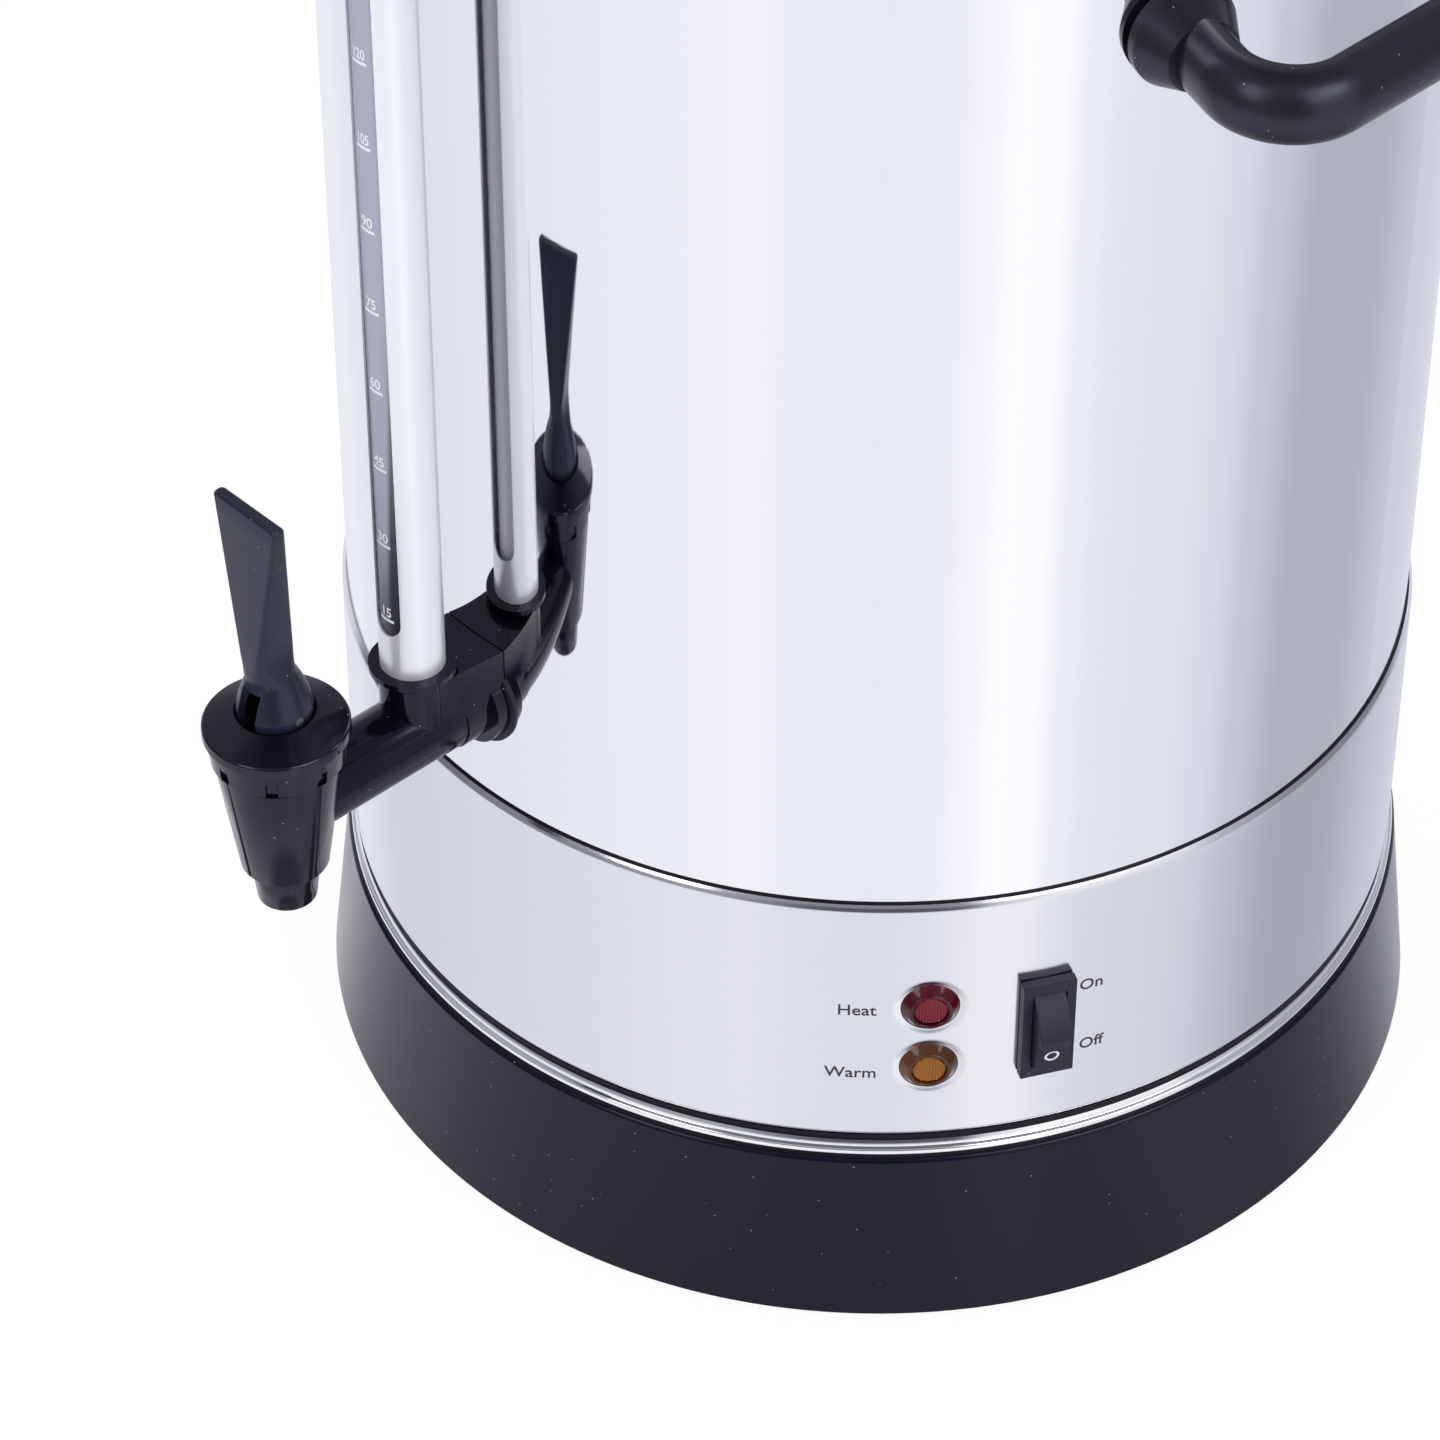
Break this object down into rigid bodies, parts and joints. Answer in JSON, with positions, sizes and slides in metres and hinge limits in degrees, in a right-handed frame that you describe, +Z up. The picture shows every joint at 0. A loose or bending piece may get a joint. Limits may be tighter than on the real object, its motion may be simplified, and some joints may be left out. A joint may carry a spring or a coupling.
{
  "type": "hot water urn",
  "caption": "Catering hot water urn: steel tank on a flared black base, lever tap with a slotted sight gauge, pilot lamps, rocker switch, side handles and lid.",
  "frame": {"origin": "on the floor under the tank's axis", "axes": "+Z up along the tank's axis, -Y towards the tap, +X to the right of the tap as seen from the front"},
  "size_m": [0.366, 0.3834, 0.4994],
  "materials": {
    "skirt_black": "satin moulded",
    "tap_black": "gloss moulded",
    "switch_black": "fine satin",
    "knob_black": "satin",
    "tank_steel": "fine satin, nearly mirror",
    "band_steel": "fine horizontal brushing",
    "lid_steel": "fine satin",
    "trim_chrome": "polished",
    "plate_steel": "galvanised",
    "fastener_steel": "zinc plated",
    "spring_steel": "bright",
    "gauge_aluminium": "satin anodised",
    "heater_aluminium": "as rolled",
    "element_steel": "heat tinted",
    "gauge_glass": "clear",
    "red_lens": "tinted clear",
    "amber_lens": "tinted clear",
    "black_rubber": "matt",
    "seal_silicone": "matt",
    "white_ceramic": "unglazed",
    "nylon_white": "moulded"
  },
  "bodies": {
    "urn_body": {"base_skirt": "skirt_black", "base_plate": "plate_steel", "rubber_foot_ring": "black_rubber", "base_screws": "fastener_steel", "trim_ring": "trim_chrome", "tie_rods": "fastener_steel", "tie_rod_nuts": "fastener_steel", "control_band": "band_steel", "tank_wall": "tank_steel", "tank_floor": "tank_steel", "heat_plate": "heater_aluminium", "heating_element": "element_steel", "keep_warm_element": "element_steel", "thermostat": "white_ceramic", "thermal_cutout": "white_ceramic", "sensor_screws": "fastener_steel", "terminal_block": "white_ceramic", "terminal_screws": "fastener_steel", "cord_gland": "switch_black", "gland_nut": "switch_black", "red_lamp_lens": "red_lens", "amber_lamp_lens": "amber_lens", "red_lamp_body": "nylon_white", "amber_lamp_body": "nylon_white", "switch_frame": "switch_black", "tap_arm": "tap_black", "tap_outer_washer": "black_rubber", "tap_inner_washer": "seal_silicone", "shank_nut": "tap_black", "tap_body": "tap_black", "tap_cap": "tap_black", "stem_seal": "seal_silicone", "valve_spring": "spring_steel", "gauge_tube": "gauge_aluminium", "gauge_glass": "gauge_glass", "gauge_lower_seal": "black_rubber", "gauge_top_cap": "tap_black", "gauge_screw": "fastener_steel", "right_handle": "knob_black", "left_handle": "knob_black", "handle_pads": "trim_chrome", "handle_screws": "fastener_steel"},
    "valve_stem": {"valve_stem": "nylon_white", "seal_plug": "seal_silicone", "lever_pin": "fastener_steel"},
    "tap_lever": {"tap_lever": "tap_black"},
    "switch_rocker": {"switch_rocker": "switch_black"},
    "lid": {"lid": "lid_steel", "lid_knob": "knob_black", "knob_screw": "fastener_steel"}
  },
  "joints": [
    {"name": "stem_lift", "type": "slide", "parent": "urn_body", "child": "valve_stem", "axis": [0, 0, 1], "range_m": [0, 0.004], "stiffness_N_per_m": 1500, "springref_m": -0.003, "deforming": ["valve_spring"]},
    {"name": "lever_tilt", "type": "hinge", "parent": "valve_stem", "child": "tap_lever", "pos_m": [0, -0.205, 0.2055], "axis": [1, 0, 0], "range_deg": [0, 45]},
    {"name": "switch_rock", "type": "hinge", "parent": "urn_body", "child": "switch_rocker", "pos_m": [0.12572, -0.0634, 0.0954], "axis": [0.4503, 0.8929, 0], "range_deg": [0, 16]},
    {"name": "lid_lift", "type": "slide", "parent": "urn_body", "child": "lid", "axis": [0, 0, 1], "range_m": [0, 0.12]}
  ],
  "couplings": [
    {"joint": "lever_tilt", "follows": "stem_lift", "rad_per_m": 196}
  ]
}
